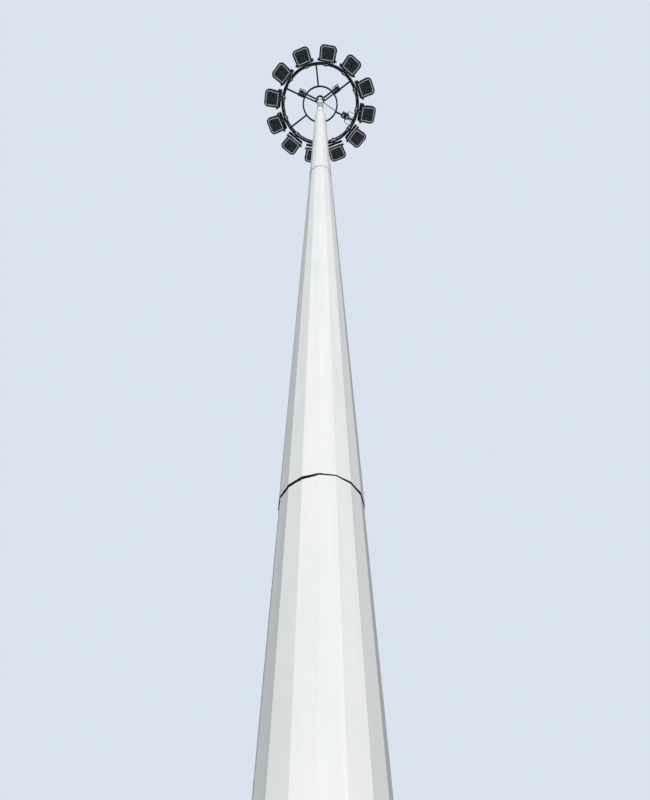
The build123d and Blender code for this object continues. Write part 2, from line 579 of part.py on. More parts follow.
cavity_plan = [
    (12, -cavity_half), (lamp_end - LAMP_OUTER_CORNER, -cavity_half), (lamp_end - 44, -cavity_half + 60),
    (lamp_end - 44, cavity_half - 60), (lamp_end - LAMP_OUTER_CORNER, cavity_half), (12, cavity_half),
]
cavity = extrude(Plane.XY.offset(face_z - 1) * make_face(Polyline(*cavity_plan, close=True)), amount=LAMP_LENGTH)
housing -= cavity & cavity_side
ear_end = (LAMP_INNER_WIDTH + (LAMP_WIDTH - LAMP_INNER_WIDTH) * 2 * LAMP_NOSE / LAMP_LENGTH) / 2
ear_start = ear_end - LAMP_EAR
for s in (-1, 1):
    y0, y1 = sorted((s * ear_start, s * ear_end))
    housing += block(-22, 22, y0, y1, -20, 24)
    y0, y1 = sorted((s * (ear_start + 5), s * (ear_end + 1)))
    housing -= crosswise(PIVOT_RADIUS + RUNNING_CLEARANCE, y0, y1, 0, 0)
glass = lamp_prism(LAMP_FRAME + 0.3, face_z + LAMP_LEDGE - GLASS_THICKNESS, face_z + LAMP_LEDGE)

leg_in = ear_end + YOKE_CLEARANCE
leg_out = leg_in + YOKE_LEG
ring_side = -LAMP_PIVOT_OFFSET           # the outer ring's outer side, seen from the pivot
strap_in = ring_side + YOKE_STANDOFF
strap_out = strap_in + YOKE_WIDTH
saddle_z = CHANNEL_HEIGHT / 2 + SADDLE_PLATE
strap_top = LAMP_PIVOT_DROP - saddle_z
strap_low = strap_top - YOKE_PLATE
leg_profile = [
    (strap_in, strap_top), (strap_in, strap_low - YOKE_WIDTH / 2), (-YOKE_EYE, 0),
    (-YOKE_EYE / 2, -YOKE_EYE), (YOKE_EYE / 2, -YOKE_EYE), (YOKE_EYE, 0),
    (YOKE_EYE, strap_low - YOKE_WIDTH / 2), (strap_out, strap_top),
]
yoke = block(strap_in, strap_out, -leg_out, leg_out, strap_low, strap_top)
for s in (-1, 1):
    y0, y1 = sorted((s * leg_in, s * leg_out))
    yoke += plate_xz(leg_profile, y0, y1)
    y0, y1 = sorted((s * (ear_start + 5 + LAMP_PIN_CLEARANCE), s * leg_in))
    yoke += crosswise(PIVOT_RADIUS, y0, y1, 0, 0)
knob = extrude(Plane.XZ * RegularPolygon(KNOB_RADIUS, 6), amount=KNOB_LENGTH)
knobs = [Pos(0, -leg_out, 0) * knob, Pos(0, leg_out + KNOB_LENGTH, 0) * knob]
saddle_in = ring_side - CHANNEL_WIDTH - SADDLE_OVERHANG
bracket_out = ring_side + BRACKET_BACK
saddle = block(ring_side, bracket_out, -BRACKET_WIDTH / 2, BRACKET_WIDTH / 2, -saddle_z, saddle_z)
saddle += block(saddle_in, bracket_out, -SADDLE_WIDTH / 2, SADDLE_WIDTH / 2, saddle_z - SADDLE_PLATE, saddle_z)
saddle += block(saddle_in, strap_out, -SADDLE_WIDTH / 2, SADDLE_WIDTH / 2, -saddle_z, SADDLE_PLATE - saddle_z)
nodes["lamp_brackets"] = []
nodes["lamp_yokes"] = []
nodes["lamp_knobs"] = []
for n, bearing in enumerate(LAMP_BEARINGS, 1):
    clamp_seat = Pos(LAMP_PIVOT_RADIUS, 0, RING_Z)
    seat = Pos(LAMP_PIVOT_RADIUS, 0, RING_Z - LAMP_PIVOT_DROP)
    aim = seat * Rot(0, -LAMP_TILT, 0)
    nodes["lamp_yokes"].append(to_bearing(seat * yoke, bearing))
    nodes["lamp_knobs"] += [to_bearing(seat * knob, bearing) for knob in knobs]
    nodes["lamp_brackets"].append(to_bearing(clamp_seat * saddle, bearing))
    nodes[f"lamp_housing_{n:02d}"] = to_bearing(aim * housing, bearing)
    nodes[f"lamp_glass_{n:02d}"] = to_bearing(aim * glass, bearing)

# ---------------------------------------------------------------- export
os.makedirs("parts", exist_ok=True)
for name, shape in nodes.items():
    if isinstance(shape, list):
        shape = Compound(children=shape)
    export_step(shape, f"parts/{name}.step")
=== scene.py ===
"""High mast floodlight tower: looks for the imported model. Metres, in the frame of the CAD part."""
import json
import random
from math import asin, atan2, cos, hypot, pi, radians, sin, tan

import bmesh
import bpy
from mathutils import Matrix, Vector


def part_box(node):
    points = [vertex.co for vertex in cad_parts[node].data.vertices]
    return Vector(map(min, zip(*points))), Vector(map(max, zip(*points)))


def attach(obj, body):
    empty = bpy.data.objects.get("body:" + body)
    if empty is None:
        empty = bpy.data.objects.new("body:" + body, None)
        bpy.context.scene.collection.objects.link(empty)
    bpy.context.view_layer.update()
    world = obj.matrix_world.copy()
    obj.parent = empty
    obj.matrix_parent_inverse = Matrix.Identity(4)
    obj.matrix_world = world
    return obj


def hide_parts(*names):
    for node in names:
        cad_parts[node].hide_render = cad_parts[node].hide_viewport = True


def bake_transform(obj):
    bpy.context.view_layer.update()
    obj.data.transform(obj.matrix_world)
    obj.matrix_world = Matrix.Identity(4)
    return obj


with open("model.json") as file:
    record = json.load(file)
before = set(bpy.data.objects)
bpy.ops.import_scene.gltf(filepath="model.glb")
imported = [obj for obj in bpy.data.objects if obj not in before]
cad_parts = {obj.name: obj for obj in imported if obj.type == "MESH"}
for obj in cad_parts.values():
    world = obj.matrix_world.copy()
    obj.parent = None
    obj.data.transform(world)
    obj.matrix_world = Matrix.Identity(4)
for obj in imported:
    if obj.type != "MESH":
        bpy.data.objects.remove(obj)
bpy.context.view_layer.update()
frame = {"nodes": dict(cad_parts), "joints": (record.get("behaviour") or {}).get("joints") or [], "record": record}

NODES = frame["nodes"]
UP = Vector((0, 0, 1))

# ---------------------------------------------------------------- camera
EYE = Vector((0.176, -3.184, 1.647))     # a person near the foot of the mast, looking up
HEADING = 2.56                           # degrees the view turns left of +Y
PITCH = 58.28
ROLL = 0.68
LENS = 32.12


def place_camera():
    data = bpy.data.cameras.new("camera")
    data.lens = LENS
    data.sensor_width = 36
    data.clip_end = 200
    camera = bpy.data.objects.new("camera", data)
    bpy.context.scene.collection.objects.link(camera)
    turn = Matrix.Rotation(radians(HEADING), 4, "Z")
    tilt = Matrix.Rotation(radians(90 + PITCH), 4, "X")
    roll = Matrix.Rotation(radians(-ROLL), 4, "Z")
    camera.matrix_world = Matrix.Translation(EYE) @ turn @ tilt @ roll
    bpy.context.scene.camera = camera


place_camera()
bpy.context.scene.view_settings.view_transform = "Standard"


# ---------------------------------------------------------------- places, read from the frame
def polar(radius, bearing, z):
    """A point at a bearing measured from the front (-Y) towards +X, in radians."""
    return Vector((radius * sin(bearing), -radius * cos(bearing), z))


def radial_frame(bearing, origin=(0, 0, 0)):
    """X outward along the bearing, Z up."""
    x = polar(1, bearing, 0)
    y = UP.cross(x)
    m = Matrix((x, y, UP)).transposed().to_4x4()
    m.translation = Vector(origin)
    return m


def bearing_of(point):
    return atan2(point[0], -point[1])


def local_box(node, m):
    """The extent of a CAD node in another frame."""
    back = m.inverted()
    points = [back @ v.co for v in NODES[node].data.vertices]
    low = Vector([min(p[k] for p in points) for k in range(3)])
    high = Vector([max(p[k] for p in points) for k in range(3)])
    return low, high


LAMP_TILT = radians(10)                  # of every floodlight at rest
lamp_joints = [j for j in frame["joints"] if j["child"].startswith("floodlight")]
lamp_frames = {}
for joint in lamp_joints:
    seat = radial_frame(bearing_of(joint["pos_m"]), joint["pos_m"])
    lamp_frames[joint["child"]] = seat @ Matrix.Rotation(-LAMP_TILT, 4, "Y")
lamp_names = sorted(lamp_frames)
sheave_joints = [j for j in frame["joints"] if j["child"].startswith("sheave")]

CHANNEL_WIDTH = 0.045                    # the outer ring's channel is open on its inner side
ring_low, ring_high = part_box("outer_ring")
RING_Z = (ring_low.z + ring_high.z) / 2
RING_OUT = ring_high.x
RING_HALF = (ring_high.z - ring_low.z) / 2
RING_IN = RING_OUT - CHANNEL_WIDTH


# ---------------------------------------------------------------- mesh helpers
class Build:
    """Collects plain shapes into one mesh."""

    def __init__(self):
        self.points = []
        self.faces = []

    def add(self, points, faces, m=None):
        start = len(self.points)
        self.points += [m @ Vector(p) for p in points] if m else [Vector(p) for p in points]
        self.faces += [[start + k for k in face] for face in faces]

    def box(self, low, high, m=None, cut=0.0):
        """A block with its edges cut by a small chamfer."""
        (x0, y0, z0), (x1, y1, z1) = low, high
        loops = []
        for z, c in ((z0, cut), (z0 + cut, 0), (z1 - cut, 0), (z1, cut)):
            a, b, u, v = x0 + c, x1 - c, y0 + c, y1 - c
            loops.append([(a + cut, u, z), (b - cut, u, z), (b, u + cut, z), (b, v - cut, z),
                          (b - cut, v, z), (a + cut, v, z), (a, v - cut, z), (a, u + cut, z)])
        self.loft(loops, m)

    def loft(self, loops, m=None, close=False):
        """A skin over loops of equally many points, with end faces unless it closes on itself."""
        count = len(loops[0])
        points = [p for loop in loops for p in loop]
        faces = []
        rows = len(loops) if close else len(loops) - 1
        for r in range(rows):
            a, b = r * count, (r + 1) % len(loops) * count
            for k in range(count):
                n = (k + 1) % count
                faces.append([a + k, a + n, b + n, b + k])
        if not close:
            faces.append(list(range(count))[::-1])
            faces.append([len(points) - count + k for k in range(count)])
        self.add(points, faces, m)

    def rod(self, low, high, radius, sides=16, m=None, top=None):
        """A round or flat-sided bar between two points; top is its radius at the second."""
        self.tube([low, high], radius, sides, m, end=top)

    def tube(self, path, radius, sides=10, m=None, end=None, close=False):
        """A bar along a path; end is its radius at the last point."""
        path = [Vector(p) for p in path]
        last = len(path) - 1
        angles = [2 * pi * n / sides for n in range(sides)]
        loops = []
        side = None
        for k, p in enumerate(path):
            before = path[k - 1] if k or close else p
            after = path[(k + 1) % len(path)] if k < last or close else p
            along = (after - before).normalized()
            if side is None:
                side = along.cross(UP if abs(along.z) < 0.9 else Vector((1, 0, 0))).normalized()
            side = (side - along * side.dot(along)).normalized()
            other = along.cross(side)
            r = end if end is not None and k == last else radius
            loops.append([p + (side * cos(a) + other * sin(a)) * r for a in angles])
        self.loft(loops, m, close=close)

    def turned(self, profile, steps=64):
        """A ring turned about Z from a closed profile of (radius, z)."""
        loops = []
        for k in range(steps):
            a = 2 * pi * k / steps
            loops.append([(r * cos(a), r * sin(a), z) for r, z in profile])
        self.loft(loops, close=True)

    def piece(self, name, material, body, smooth=None):
        """The mesh as an object on a body; smooth is the angle in degrees up to which its faces blend."""
        mesh = bpy.data.meshes.new(name)
        mesh.from_pydata([tuple(p) for p in self.points], [], self.faces)
        mesh.validate()
        mesh.update()
        work = bmesh.new()
        work.from_mesh(mesh)
        bmesh.ops.recalc_face_normals(work, faces=work.faces)
        work.to_mesh(mesh)
        work.free()
        obj = bpy.data.objects.new(name, mesh)
        bpy.context.scene.collection.objects.link(obj)
        mesh.materials.append(material)
        if smooth:
            mesh.polygons.foreach_set("use_smooth", [True] * len(mesh.polygons))
            mesh.set_sharp_from_angle(angle=radians(smooth))
        if body:
            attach(obj, body)
        return obj


# ---------------------------------------------------------------- materials
class Nodes:
    """A short way to wire one material."""

    def __init__(self, name, colour, metallic, roughness, sheen=0.5):
        self.material = bpy.data.materials.new(name)
        self.material.use_nodes = True
        self.tree = self.material.node_tree
        self.shader = self.tree.nodes["Principled BSDF"]
        self.shader.inputs["Base Color"].default_value = (*colour, 1)
        self.shader.inputs["Metallic"].default_value = metallic
        self.shader.inputs["Roughness"].default_value = roughness
        self.shader.inputs["Specular IOR Level"].default_value = sheen
        self.place = self.tree.nodes.new("ShaderNodeTexCoord").outputs["Object"]

    def node(self, kind, **inputs):
        n = self.tree.nodes.new(kind)
        for key, value in inputs.items():
            key = key.replace("_", " ")
            if hasattr(value, "is_output"):
                self.tree.links.new(value, n.inputs[key])
            else:
                n.inputs[key].default_value = value
        return n

    def stretched(self, x, y, z):
        return self.node("ShaderNodeMapping", Vector=self.place, Scale=(x, y, z)).outputs["Vector"]

    def noise(self, scale, detail=4.0, rough=0.55, vector=None):
        return self.node("ShaderNodeTexNoise", Vector=vector or self.place, Scale=scale,
                         Detail=detail, Roughness=rough).outputs["Fac"]

    def levels(self, value, low, high, to_low, to_high):
        return self.node("ShaderNodeMapRange", Value=value, From_Min=low, From_Max=high,
                         To_Min=to_low, To_Max=to_high).outputs["Result"]

    def mix(self, factor, a, b):
        n = self.tree.nodes.new("ShaderNodeMix")
        n.data_type = "RGBA"
        self.tree.links.new(factor, n.inputs["Factor"])
        for key, v in (("A", a), ("B", b)):
            socket = [s for s in n.inputs if s.name == key and s.type == "RGBA"][0]
            if hasattr(v, "is_output"):
                self.tree.links.new(v, socket)
            else:
                socket.default_value = (*v, 1)
        return [s for s in n.outputs if s.type == "RGBA"][0]

    def colour(self, value):
        self.tree.links.new(value, self.shader.inputs["Base Color"])

    def rough(self, value):
        self.tree.links.new(value, self.shader.inputs["Roughness"])

    def bump(self, height, strength, distance):
        n = self.node("ShaderNodeBump", Height=height, Strength=strength, Distance=distance)
        self.tree.links.new(n.outputs["Normal"], self.shader.inputs["Normal"])


def galvanised(name, light, dark, metallic, roughness, sheen=0.5):
    """Hot-dip zinc: faint crystal spangle, long run marks and cloudy patches."""
    m = Nodes(name, light, metallic, roughness, sheen)
    spangle = m.node("ShaderNodeTexVoronoi", Vector=m.place, Scale=55).outputs["Color"]
    grain = m.node("ShaderNodeSeparateColor", Color=spangle).outputs["Red"]
    runs = m.noise(3.0, detail=5, rough=0.6, vector=m.stretched(3.0, 3.0, 0.12))
    cloud = m.noise(1.3, detail=3, rough=0.5)
    tone = m.mix(m.levels(runs, 0.38, 0.66, 0, 0.5), light, dark)
    mottled = m.mix(m.levels(grain, 0, 1, 0.0, 0.16), tone, dark)
    m.colour(m.mix(m.levels(cloud, 0.45, 0.7, 0.0, 0.35), mottled, dark))
    m.rough(m.levels(runs, 0.3, 0.7, roughness - 0.06, roughness + 0.1))
    m.bump(grain, 0.05, 0.001)
    return m.material


def painted(name, colour, edge, roughness=0.45, texture=900.0, metallic=0.0, sheen=0.5):
    """Powder coat: fine orange peel, with a slight dusty change of tone."""
    m = Nodes(name, colour, metallic, roughness, sheen)
    dust = m.noise(7.0, detail=6, rough=0.6)
    m.colour(m.mix(m.levels(dust, 0.42, 0.72, 0, 1), colour, edge))
    m.rough(m.levels(dust, 0.3, 0.7, roughness - 0.05, roughness + 0.12))
    m.bump(m.noise(texture, detail=2, rough=0.5), 0.12, 0.0004)
    return m.material


def glass_pane(name):
    """Clear glass, faintly tinted, with smears."""
    m = Nodes(name, (0.60, 0.70, 0.66), 0.0, 0.06)
    m.shader.inputs["Transmission Weight"].default_value = 1.0
    m.shader.inputs["IOR"].default_value = 1.28
    m.rough(m.levels(m.noise(14), 0.4, 0.7, 0.05, 0.16))
    return m.material


def rope_steel(name):
    """Greased wire, darker where the grease has caught dirt."""
    m = Nodes(name, (0.16, 0.16, 0.165), 0.7, 0.45)
    dirt = m.levels(m.noise(60, detail=3), 0.4, 0.7, 0, 1)
    m.colour(m.mix(dirt, (0.20, 0.20, 0.205), (0.05, 0.05, 0.05)))
    return m.material


zinc = galvanised("galvanised shaft", (0.82, 0.84, 0.84), (0.70, 0.735, 0.745), 0.0, 0.6, sheen=0.02)
zinc_plain = galvanised("galvanised fittings", (0.62, 0.64, 0.66), (0.42, 0.45, 0.47), 0.6, 0.45)
bright_trim = galvanised("bezel aluminium", (0.70, 0.73, 0.73), (0.58, 0.62, 0.62), 0.6, 0.40)
sheave_iron = galvanised("sheave iron", (0.22, 0.23, 0.24), (0.10, 0.10, 0.11), 0.8, 0.4)
bolt_zinc = galvanised("bolt zinc", (0.60, 0.61, 0.62), (0.40, 0.41, 0.42), 0.8, 0.35)
stainless = galvanised("stainless", (0.60, 0.60, 0.59), (0.48, 0.48, 0.48), 0.9, 0.3)
dark_zinc = painted("dark steelwork", (0.012, 0.014, 0.017), (0.026, 0.029, 0.033), 0.48,
                    texture=500.0, metallic=0.05, sheen=0.3)
black_coat = painted("black powder coat", (0.006, 0.007, 0.008), (0.014, 0.016, 0.018), 0.50, sheen=0.2)
yoke_coat = painted("yoke powder coat", (0.009, 0.010, 0.011), (0.022, 0.024, 0.026), 0.45, sheen=0.25)
black_nylon = painted("black nylon", (0.012, 0.012, 0.013), (0.030, 0.030, 0.031), 0.5, texture=1400.0)
box_coat = painted("box powder coat", (0.030, 0.033, 0.037), (0.060, 0.064, 0.068), 0.42)
# Painted shadow: a near-black coat for the bands that stand in for the shade under the shaft's lips and the
# reducer's collar.
painted_joint_shadow = painted("joint shadow", (0.004, 0.004, 0.005), (0.010, 0.010, 0.009), 0.8, sheen=0.04)
cable_black = painted("cable sheath", (0.010, 0.010, 0.011), (0.028, 0.028, 0.029), 0.5)
BOARD_DARK = (0.018, 0.024, 0.022)
BOARD_LIGHT = (0.026, 0.033, 0.030)
tray_dark = painted("reflector", BOARD_DARK, BOARD_LIGHT, 0.6, texture=300.0, sheen=0.1)
lens_clear = painted("lens resin", BOARD_DARK, BOARD_LIGHT, 0.45, texture=300.0, sheen=0.1)
rope_wire = rope_steel("wire rope")
pane = glass_pane("lamp glass")

SLOT_MATERIALS = {
    "galvanised_steel": zinc,
    "head_steel": dark_zinc,
    "lamp_housing": black_coat,
    "lamp_glass": pane,
    "lamp_yoke": yoke_coat,
    "black_plastic": black_nylon,
    "sheave": sheave_iron,
    "stainless_steel": stainless,
    "wire_rope": rope_wire,
    "box_enclosure": box_coat,
    "cable_sheath": cable_black,
}
for part in frame["record"]["subparts"]:
    obj = NODES[part["node"]]
    obj.data.materials.clear()
    obj.data.materials.append(SLOT_MATERIALS[part["material_slot"]])


# ---------------------------------------------------------------- shared small parts
def hex_head(b, place, direction, width, height):
    """A hexagon head or nut on its washer, standing on a face."""
    place, direction = Vector(place), Vector(direction).normalized()
    radius = width / 2 / cos(pi / 6)
    washer = place + direction * height * 0.2
    rim = place + direction * height * 0.95
    b.rod(place - direction * 0.001, washer, width * 0.75)
    b.tube([washer, rim, place + direction * height], radius, 6, end=radius * 0.88)


def curve(points, steps=8):
    """A smooth path through given points."""
    points = [Vector(p) for p in points]
    ends = [points[0] * 2 - points[1]] + points + [points[-1] * 2 - points[-2]]
    path = []
    for k in range(1, len(ends) - 2):
        a, p, q, d = ends[k - 1:k + 3]
        for n in range(steps):
            t = n / steps
            path.append(0.5 * ((2 * p) + (q - a) * t + (2 * a - 5 * p + 4 * q - d) * t ** 2
                               + (3 * p - a - 3 * q + d) * t ** 3))
    path.append(points[-1])
    return path


def rounded(corners, radii, steps):
    """A closed outline with round corners."""
    out = []
    count = len(corners)
    for k in range(count):
        p = Vector(corners[k])
        u = (Vector(corners[k - 1]) - p).normalized()
        v = (Vector(corners[(k + 1) % count]) - p).normalized()
        half = u.angle(v) / 2
        centre = p + (u + v).normalized() * radii[k] / sin(half)
        first = (p + u * radii[k] / tan(half) - centre).normalized()
        last = (p + v * radii[k] / tan(half) - centre).normalized()
        for n in range(steps + 1):
            out.append(centre + first.slerp(last, n / steps) * radii[k])
    return out


# ---------------------------------------------------------------- floodlights
# Each in its own frame: the origin on the tilt axis, X outward over the head, Z out of its back.
LAMP_LOW, LAMP_HIGH = local_box("lamp_housing_01", lamp_frames["floodlight_01"])
GLASS_LOW, GLASS_HIGH = local_box("lamp_glass_01", lamp_frames["floodlight_01"])
INNER_HALF = LAMP_HIGH.y * 0.9           # the head is narrower at its inner end
INNER_CORNER = 0.030
OUTER_CORNER = 0.105
BACK_START = 0.095                       # where the flat back begins and ends
BACK_END = LAMP_HIGH.x - 0.075
FIN_RISE = 0.0085
FIN_PITCH = 0.024
FIN_SPAN = 0.34                          # across all fins
FIN_HALF = 0.002
BEZEL_OUT = 0.0335                       # the bezel's edges, inside the head's outline
BEZEL_IN = 0.054
BEZEL_DEPTH = 0.0035
BEZEL_BEVEL = 0.001
CAVITY_IN = 0.016
CAVITY_OUT = LAMP_HIGH.x - 0.052
CAVITY_HALF = 0.150
BOARD_Z = GLASS_HIGH.z + 0.014
BOARD_THICKNESS = 0.004
BOARD_TAPER = 0.03
BOARD_CORNERS = [0.01, 0.05, 0.05, 0.01]
LENS_ROWS = 6
LENS_COLUMNS = 8
LENS_INSET = 0.026                       # from the board's ends to the outer rows
LENS_SIDE_INSET = 0.034
LENS_PROFILE = ((0, 0.0125), (-0.004, 0.0115), (-0.007, 0.006))
SCREW_INSET = 0.016                      # the front screws, from the head's edge
GLAND_SEAT = Vector((0.066, 0.10, 0.071))     # on the slope at the inner end of the back
GLAND_DIRECTION = Vector((-0.72, 0.0, 0.69))
LEAD_RADIUS = 0.0065


def lamp_outline(inset, z, steps=8):
    """The head's outline, drawn in by an inset, at a depth."""
    x0, x1 = LAMP_LOW.x + inset, LAMP_HIGH.x - inset
    inner, outer = INNER_HALF - inset, LAMP_HIGH.y - inset
    corners = [(x0, -inner), (x1, -outer), (x1, outer), (x0, inner)]
    radii = [max(r - inset, 0.008) for r in (INNER_CORNER, OUTER_CORNER, OUTER_CORNER, INNER_CORNER)]
    return [(p.x, p.y, z) for p in rounded(corners, radii, steps)]


def make_bezel():
    """The bright trim that clamps the glass."""
    b = Build()
    front = GLASS_LOW.z - BEZEL_DEPTH
    b.loft([lamp_outline(BEZEL_OUT, GLASS_LOW.z), lamp_outline(BEZEL_OUT + BEZEL_BEVEL, front),
            lamp_outline(BEZEL_IN - 2 * BEZEL_BEVEL, front), lamp_outline(BEZEL_IN, GLASS_LOW.z)], close=True)
    return b


def make_board():
    """The dark board of lenses inside the housing."""
    b = Build()
    outer = CAVITY_HALF - BOARD_TAPER
    corners = [(CAVITY_IN, -CAVITY_HALF), (CAVITY_OUT, -outer), (CAVITY_OUT, outer), (CAVITY_IN, CAVITY_HALF)]
    edge = rounded(corners, BOARD_CORNERS, 5)
    b.loft([[(p.x, p.y, z) for p in edge] for z in (BOARD_Z, BOARD_Z + BOARD_THICKNESS)])
    return b


def make_lenses():
    """Rows of small lenses standing off the board, towards the glass."""
    b = Build()
    length = CAVITY_OUT - CAVITY_IN - 2 * LENS_INSET
    width = 2 * (CAVITY_HALF - LENS_SIDE_INSET)
    sides = 10
    for r in range(LENS_ROWS):
        for c in range(LENS_COLUMNS):
            x = CAVITY_IN + LENS_INSET + length * r / (LENS_ROWS - 1)
            y = (c / (LENS_COLUMNS - 1) - 0.5) * width
            loops = []
            for z, radius in LENS_PROFILE:
                angles = [2 * pi * k / sides for k in range(sides)]
                loops.append([(x + radius * cos(a), y + radius * sin(a), BOARD_Z + z) for a in angles])
            b.loft(loops)
    return b


def make_fins():
    """Cooling ribs across the flat back; all but the outermost run down its outer slope."""
    b = Build()
    back = LAMP_HIGH.z
    lift = back + FIN_RISE
    tip = LAMP_HIGH.x
    root = [(BACK_START - 0.012, back - 0.012), (BACK_START, lift)]
    long_side = root + [(BACK_END + 0.002, lift), (tip - 0.004, 0.026), (tip - 0.012, 0.010),
                        (BACK_END - 0.004, back - 0.004)]
    short_side = root + [(BACK_END - 0.03, lift), (BACK_END - 0.01, back - 0.004)]
    count = int(FIN_SPAN / FIN_PITCH)
    for k in range(count + 1):
        y = (k - count / 2) * FIN_PITCH
        side = long_side if abs(y) < LAMP_HIGH.y - OUTER_CORNER else short_side
        b.loft([[(x, y + w, z) for x, z in side] for w in (-FIN_HALF, FIN_HALF)])
    return b


def make_lamp_screws():
    """Screws round the front frame."""
    b = Build()
    path = lamp_outline(SCREW_INSET, LAMP_LOW.z, 3)
    spots = [path[k] for k in (1, 5, 6, 9, 10, 14)]
    middle = (LAMP_LOW.x + LAMP_HIGH.x) / 2
    side = (INNER_HALF + LAMP_HIGH.y) / 2 - 0.015
    spots += [(middle, -side, LAMP_LOW.z), (middle, side, LAMP_LOW.z)]
    spots += [(LAMP_LOW.x + 0.015, 0, LAMP_LOW.z), (LAMP_HIGH.x - 0.015, 0, LAMP_LOW.z)]
    for x, y, z in spots:
        b.rod((x, y, z + 0.001), (x, y, z - 0.003), 0.0065, 14, top=0.005)
    return b


def make_lamp_gland():
    """The gland and its nut, where a lead enters the back."""
    b = Build()
    out = GLAND_SEAT + GLAND_DIRECTION * 0.02
    b.rod(GLAND_SEAT - GLAND_DIRECTION * 0.006, out, 0.014, 6)
    b.rod(out, out + GLAND_DIRECTION * 0.012, 0.012, 12, top=0.008)
    return b


def make_lead(name, m):
    """A lamp's flexible lead, from the loom on the ring's inner edge, under the ring, to the lamp's gland."""
    ring = radial_frame(bearing_of(m.translation))
    ring.translation.z = RING_Z
    seat = m @ (GLAND_SEAT + GLAND_DIRECTION * 0.03)
    near = m @ (GLAND_SEAT + GLAND_DIRECTION * 0.075)
    points = [ring @ Vector((RING_IN - 0.020, 0.175, RING_HALF + 0.024)),
              ring @ Vector((RING_IN - 0.046, 0.170, 0.010)),
              ring @ Vector((RING_IN - 0.024, 0.155, -0.056)),
              ring @ Vector((RING_OUT + 0.012, 0.128, -0.105)), near, seat]
    path = curve(points, 8)
    b = Build()
    b.tube(path, LEAD_RADIUS, 10)
    obj = b.piece(f"{name}_lead", cable_black, None, smooth=40)
    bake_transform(obj)


def dress_lamps():
    """One set of shapes, placed on every floodlight, and its lead."""
    shapes = [("bezel", make_bezel(), bright_trim, "stainless_steel", 30),
              ("board", make_board(), tray_dark, "lamp_housing", 30),
              ("lenses", make_lenses(), lens_clear, "lamp_glass", 40),
              ("fins", make_fins(), black_coat, "lamp_housing", None),
              ("screws", make_lamp_screws(), stainless, "stainless_steel", 30),
              ("gland", make_lamp_gland(), black_nylon, "black_plastic", 30)]
    for name in lamp_names:
        m = lamp_frames[name]
        for kind, shape, material, slot_name, smooth in shapes:
            b = Build()
            b.add(shape.points, shape.faces, m)
            b.piece(f"{name}_{kind}", material, name, smooth)
        make_lead(name, m)


# ---------------------------------------------------------------- lowering ring
SPOKES = 6
SPOKE_HALF = 0.020
RING_WELD = 0.004                        # radius of a bead
BOX_SPOKE = 2                            # the spoke that carries the junction box
SADDLE_BOLT_INSET = 0.012                # from the outer ring's inner side
SADDLE_TOP = (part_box("lamp_brackets")[1].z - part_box("lamp_brackets")[0].z) / 2     # above RING_Z
STRAP_THICKNESS = 0.008
STRAP_BOLTS = (0.022, 0.050)             # beyond the outer ring
FACE_BOLT_REACH = 0.015
FACE_BOLT_SIDE = 0.024
HOIST_BOLTS = (0.470, 0.548, 0.610)      # along each hoist bracket, from the mast's axis
HOIST_BOLT_SIDE = 0.029
SHACKLE_SIDE = 0.014

LOOM_CABLE = 0.0085                      # radius of one cable
LOOM_LAY = 0.0125                        # from the loom's middle to a cable's
LOOM_CABLES = 5
LOOM_TWISTS = 9
LOOM_INSET = 0.018                       # from the outer ring's inner side to the loom's middle
LOOM_SWERVE = 0.022
LOOM_STEPS = 360
TIE_SPACING = 5                          # degrees
TIE_RADIUS = 0.0022


def dress_clamps():
    """The saddle bolts of each lamp bracket, and the bolts that hold its yoke."""
    strap_drop = SADDLE_TOP + STRAP_THICKNESS
    inner = RING_IN - SADDLE_BOLT_INSET
    b = Build()
    for name in lamp_names:
        m = radial_frame(bearing_of(lamp_frames[name].translation))
        m.translation.z = RING_Z
        part = Build()
        part.rod((inner, 0, -SADDLE_TOP - 0.014), (inner, 0, SADDLE_TOP + 0.018), 0.005, 12)
        hex_head(part, (inner, 0, -SADDLE_TOP), (0, 0, -1), 0.017, 0.009)
        hex_head(part, (inner, 0, SADDLE_TOP), (0, 0, 1), 0.017, 0.010)
        for reach in STRAP_BOLTS:
            hex_head(part, (RING_OUT + reach, 0, -strap_drop), (0, 0, -1), 0.019, 0.009)
        for side in (-1, 1):
            hex_head(part, (RING_OUT + FACE_BOLT_REACH, side * FACE_BOLT_SIDE, 0), (1, 0, 0), 0.017, 0.009)
        b.add(part.points, part.faces, m)
    b.piece("clamp_bolts", bolt_zinc, "lowering_ring", smooth=30)


def spoke_frames():
    """One frame per spoke, at the ring's level, from half a lamp's spacing before the first lamp."""
    first = bearing_of(lamp_frames["floodlight_01"].translation) - pi / len(lamp_names)
    frames = []
    for k in range(SPOKES):
        m = radial_frame(first + k * pi / 3)
        m.translation.z = RING_Z
        frames.append(m)
    return frames


def dress_welds():
    """Weld beads where the spokes meet both rings."""
    b = Build()
    ring_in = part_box("inner_ring")[1].x
    steps = 8
    random.seed(4)
    for m in spoke_frames():
        for reach in (ring_in, RING_IN):
            for side in (-1, 1):
                path = [(reach + random.uniform(-0.001, 0.001), side * SPOKE_HALF,
                         -SPOKE_HALF + 2 * SPOKE_HALF * n / steps) for n in range(steps + 1)]
                b.tube(path, RING_WELD, 6, m)
    b.piece("ring_welds", dark_zinc, "lowering_ring", smooth=60)


